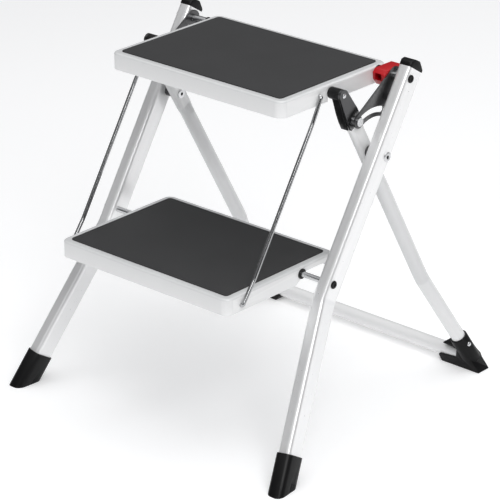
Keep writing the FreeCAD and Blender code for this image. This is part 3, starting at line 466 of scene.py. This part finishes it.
def makeFrontBoot(word, side):
    length = bootShape["long"] + bootShape["spare"]
    boot = startBox("frontBoot_" + word, (bootShape["wide"], bootShape["deep"], length))
    activate(boot)
    boot.location.z = bootShape["long"] - length / 2
    bpy.ops.object.transform_apply(location=True, rotation=False, scale=False)
    bevelAlong(boot, (0, 0, 1), bootShape["corner"], 8)
    # short flutes in both sides, low at the back
    for number in range(bootShape["flutes"]):
        along = bootShape["fluteStart"] + number * bootShape["fluteStep"]
        flute = startBox("flute", bootShape["fluteSize"])
        placeAt(flute, Vector((0, along, bootShape["fluteHeight"])))
        core = startBox("fluteCore", bootShape["fluteCore"])
        placeAt(core, Vector((0, along, bootShape["fluteHeight"])))
        cutBy(flute, core)
        cutBy(boot, flute)
    # hollow for the rail
    hollow = startBox("railHollow", bootShape["hollow"])
    bevelAlong(hollow, (0, 0, 1), bootShape["hollowCorner"], 6)
    placeAt(hollow, Vector((0, 0, bootShape["hollow"][2] / 2 + bootShape["hollowFrom"])))
    cutBy(boot, hollow)
    bevelEdges(boot, bootShape["soft"], 2, 50)
    placeAt(boot, Vector((side * footSpot.x, footSpot.y, 0)), railLean - 90, -side * footSplay)
    flattenSole(boot)
    finishPiece(boot, "black_plastic", "front_frame", ["front_foot_" + word])


for sideWord, sideSign in sideList:
    makeFrontBoot(sideWord, sideSign)
print("front boots done")

# rail caps
capShape = {
    "wide": 0.02, "deep": 0.032, "high": 0.0124, "corner": 0.0045, "soft": 0.0012,
    "fromMiddle": 0.194, "above": 0.014, "behind": 0.006,
}


def makeRailCap(word, side):
    edge = capShape["deep"] / 2
    high = capShape["high"]
    cap = startOutline("railCap_" + word, [
        (-edge, 0), (edge, 0), (edge, 0.2 * high), (0.1 * edge, high),
        (-0.55 * edge, 0.95 * high), (-edge, 0.5 * high)], capShape["wide"])
    bevelAlong(cap, (0, 0, 1), capShape["corner"], 6)
    bevelEdges(cap, capShape["soft"], 3, 20)
    behind = Vector((0, math.sin(math.radians(railLean)), -math.cos(math.radians(railLean))))
    along = Vector((0, math.cos(math.radians(railLean)), math.sin(math.radians(railLean))))
    spot = hingeTop + along * capShape["above"] + behind * capShape["behind"]
    placeAt(cap, Vector((side * capShape["fromMiddle"], spot.y, spot.z)), railLean - 90)
    finishPiece(cap, "black_plastic", "front_frame", ["rail_cap_" + word])


for sideWord, sideSign in sideList:
    makeRailCap(sideWord, sideSign)
print("caps done")

# folding lock
lockShape = {
    "wide": 0.02, "from": 0.1572, "soft": 0.0011, "window": (0.0105, 0.0145, 0.0095),
    "windowCorner": 0.0015, "windowSpot": (0.0098, -0.0185, -0.0006), "bore": 0.0041,
}


def makeFoldLock():
    lock = startOutline("foldLock", [
        (-0.016, 0.0095), (-0.021, 0.004), (-0.02, -0.005), (-0.013, -0.014), (-0.0095, -0.012),
        (-0.0079, -0.0065), (0.003, -0.0058), (0.02, 0.0024), (0.022, 0.007), (0.018, 0.0095),
    ], lockShape["wide"], middle=False)
    bevelEdges(lock, lockShape["soft"], 3, 20)
    # open pocket in the front face, and the bore for the hinge rod
    window = startBox("lockWindow", lockShape["window"])
    bevelAlong(window, (0, 1, 0), lockShape["windowCorner"], 3)
    placeAt(window, Vector(lockShape["windowSpot"]))
    cutBy(lock, window)
    bore = startPin("lockBore", -0.005, 0.026, lockShape["bore"], 28)
    cutBy(lock, bore)
    placeAt(lock, Vector((lockShape["from"], hingeTop.y, hingeTop.z)))
    finishPiece(lock, "red_plastic", "latch", ["fold_lock"])


makeFoldLock()
print("lock done")

# tread supports
supportShape = {
    "boss": 0.008, "spigot": 0.005, "arm": 0.0118, "fromMiddle": 0.163, "soft": 0.0009,
}


def makeTreadSupport(word, side):
    arm = startOutline("treadSupport_" + word, [
        (0, -0.002), (-0.003, -0.020), (-0.0085, -0.0365), (-0.0085, -0.0455), (-0.0118, -0.0465),
        (-0.0128, -0.0525), (-0.0140, -0.0525), (-0.0138, -0.0400), (-0.0122, -0.0260),
        (-0.0088, -0.008), (-0.007, 0.002),
    ], supportShape["arm"])
    bevelEdges(arm, supportShape["soft"], 3, 22)
    placeAt(arm, Vector((side * supportShape["fromMiddle"], legTip.y, legTip.z)), legLean)
    edge, pin = supportShape["boss"], supportShape["spigot"]
    boss = startLathe("boss", [
        (0.1465, 0), (0.1465, pin - 0.0006), (0.1471, pin), (0.1505, pin), (0.1505, edge - 0.0012),
        (0.1509, edge - 0.0004), (0.1518, edge), (0.1683, edge), (0.1689, edge - 0.0005),
        (0.1689, 0)], 40)
    if side < 0:
        activate(boss)
        bpy.ops.transform.mirror(constraint_axis=(True, False, False), orient_type="GLOBAL")
        bpy.ops.object.transform_apply(location=False, rotation=False, scale=True)
        bpy.ops.object.mode_set(mode="EDIT")
        bpy.ops.mesh.select_all(action="SELECT")
        bpy.ops.mesh.normals_make_consistent(inside=False)
        bpy.ops.object.mode_set(mode="OBJECT")
    placeAt(boss, legTip)
    joinTo(arm, boss)
    finishPiece(arm, "black_plastic", "rear_frame", ["tread_support_" + word])


for sideWord, sideSign in sideList:
    makeTreadSupport(sideWord, sideSign)
print("supports done")

# rear boots
cornerShape = {
    "deep": 0.024, "socket": 0.0125, "long": 0.044, "soft": 0.0014, "backSoft": 0.0009,
    "seat": 0.0101, "legStop": 0.014, "barMiddle": 0.149, "barHalf": 0.05,
    "back": (0.1, 0.1, 0.12), "backSpot": (0, 0.0625, 0.03),
}


def makeRearBoot(word, side):
    shoe = startOutline("rearBoot_" + word, [
        (0.156, 0), (0.2208, 0), (0.221, 0.0012), (0.2085, 0.0150), (0.2020, 0.0280),
        (0.1975, 0.0405), (0.191, 0.0425),
        (0.184, 0.033), (0.1765, 0.0315), (0.158, 0.0304), (0.1574, 0.0281), (0.181, 0.026),
        (0.1802, 0.0135),
        (0.152, 0.0105), (0.150, 0.0092), (0.1503, 0.0075)],
        cornerShape["deep"])
    bevelEdges(shoe, cornerShape["soft"], 3, 30)
    activate(shoe)
    shoe.rotation_euler.z = math.radians(-90 * side)
    shoe.location = (0, cornerSpot.y, 0)
    bpy.ops.object.transform_apply(location=True, rotation=True, scale=True)
    # the back of the shoe slopes with the leg
    spot = Vector((side * cornerSpot.x, cornerSpot.y, cornerSpot.z))
    back = startBox("slopedBack", cornerShape["back"])
    placeAt(back, Vector(cornerShape["backSpot"]))
    placeAt(back, spot, legLean)
    cutBy(shoe, back)
    bevelEdges(shoe, cornerShape["backSoft"], 2, 40)
    long, edge = cornerShape["long"], cornerShape["socket"]
    socket = startLathe("socket", [
        (-0.004, 0), (-0.004, edge - 0.002), (-0.002, edge), (long - 0.0012, edge),
        (long - 0.0003, edge - 0.0004), (long, edge - 0.0012), (long, 0)], 40)
    placeAt(socket, Vector((0, 0, 0)), leanY=-90)
    placeAt(socket, spot, legLean, -side * legSplay)
    joinTo(shoe, socket)
    # seats for the leg and for the crossbar
    legSeat = startPin("legSeat", cornerShape["legStop"], 0.08, cornerShape["seat"])
    placeAt(legSeat, Vector((0, 0, 0)), leanY=-90)
    placeAt(legSeat, spot, legLean, -side * legSplay)
    cutBy(shoe, legSeat)
    half = cornerShape["barHalf"]
    barSeat = startPin("barSeat", -half, half, cornerShape["seat"])
    placeAt(barSeat, Vector((side * cornerShape["barMiddle"], cornerSpot.y, cornerSpot.z)))
    cutBy(shoe, barSeat)
    flattenSole(shoe)
    finishPiece(shoe, "black_plastic", "rear_frame", ["rear_foot_" + word])


for sideWord, sideSign in sideList:
    makeRearBoot(sideWord, sideSign)
print("rear boots done")

# rivets and rod caps
headShape = {  # radius and height of each head, and how far out it stands
    "rodCap": (0.0055, 0.0021), "tip": (0.0033, 0.0017), "boot": (0.0033, 0.0019),
    "railFace": 0.204, "tongueFace": 0.173, "bootFace": 0.0124, "bootUp": 0.0299,
}


# A domed head that stands on the YZ plane and points to +X.
def makeHead(name, size, hollow=False):
    radius, high = size
    if hollow:
        profile = [(0.0002, radius), (high * 0.4, radius), (high * 0.85, radius * 0.86),
                   (high, radius * 0.7), (high * 0.9, radius * 0.5), (high * 0.45, radius * 0.4),
                   (high * 0.4, 0)]
    else:
        profile = [(0.0002, radius), (high * 0.35, radius), (high * 0.7, radius * 0.86),
                   (high * 0.92, radius * 0.55), (high, radius * 0.2), (high, 0)]
    return startLathe(name, [(0.0002, 0)] + profile, 28)


# Turns a head to its side of the stool and moves it there.
def faceOut(head, facing, spot):
    head.rotation_euler.z = math.radians(facing)
    head.location = spot
    bpy.ops.object.transform_apply(location=True, rotation=True, scale=True)


def joinAll(name, pieces):
    clearSelection()
    for piece in pieces:
        piece.select_set(True)
    bpy.context.view_layer.objects.active = pieces[0]
    bpy.ops.object.join()
    pieces[0].name = name
    return pieces[0]


capHeads, tipHeads, bootHeads, pivotHeads = [], [], [], []
for sideWord, sideSign in sideList:
    facing = 0 if sideSign > 0 else 180
    for hinge in (hingeTop, hingeLow):
        head = makeHead("rodCap", headShape["rodCap"], hollow=True)
        faceOut(head, facing, (sideSign * headShape["railFace"], hinge.y, hinge.z))
        capHeads.append(head)
    head = makeHead("tipRivet", headShape["tip"])
    faceOut(head, facing, (sideSign * headShape["tongueFace"], legTip.y, legTip.z))
    tipHeads.append(head)
    head = makeHead("bootRivet", headShape["boot"])
    faceOut(head, facing, (0, 0, 0))
    legTurn = Matrix.Rotation(math.radians(legLean), 3, "X") @ Matrix.Rotation(
        math.radians(-sideSign * legSplay), 3, "Y")
    spot = Vector((sideSign * cornerSpot.x, cornerSpot.y, cornerSpot.z))
    spot += legTurn @ Vector((sideSign * headShape["bootFace"], 0, headShape["bootUp"]))
    placeAt(head, spot, legLean, -sideSign * legSplay)
    bootHeads.append(head)
    # tubular rivet: flared rings at both ends of an open shank
    rivet = startLathe("pivotRivet", [
        (0.15905, 0.0023), (0.15925, 0.0034), (0.15915, 0.0052), (0.1595, 0.0063), (0.1602, 0.0065),
        (0.16084, 0.0062), (0.16084, 0.004), (0.204, 0.004), (0.204, 0.0063), (0.2046, 0.0065),
        (0.2053, 0.0062), (0.2058, 0.005), (0.2056, 0.0035), (0.2052, 0.0023), (0.204, 0.0022),
        (0.1605, 0.0022), (0.15905, 0.0023)], 32)
    faceOut(rivet, facing, pivotSpot)
    pivotHeads.append(rivet)

finishPiece(joinAll("rodCaps", capHeads), "black_plastic", "front_frame", ["hinge_rod_caps"])
finishPiece(joinAll("tipRivets", tipHeads), "bright_steel", "rear_frame", ["support_rivets"])
finishPiece(joinAll("bootRivets", bootHeads), "bright_steel", "rear_frame", ["rear_foot_rivets"])
finishPiece(joinAll("pivotRivets", pivotHeads), "bright_steel", "front_frame", ["pivot_rivets"])
print("rivets done")

# floor
floorLook = {"size": 60, "colour": (0.93, 0.93, 0.935, 1), "rough": 0.9, "glow": 0.2}
bpy.ops.mesh.primitive_plane_add(size=floorLook["size"])
floor = bpy.context.object
floor.name = "studioFloor"
floorMaterial = newMaterial("floorPaint")
floorShader = floorMaterial.node_tree.nodes["Principled BSDF"]
floorShader.inputs["Base Color"].default_value = floorLook["colour"]
floorShader.inputs["Roughness"].default_value = floorLook["rough"]
floorShader.inputs["Emission Color"].default_value = (1, 1, 1, 1)
floorShader.inputs["Emission Strength"].default_value = floorLook["glow"]
floor.data.materials.append(floorMaterial)

print("scene done")
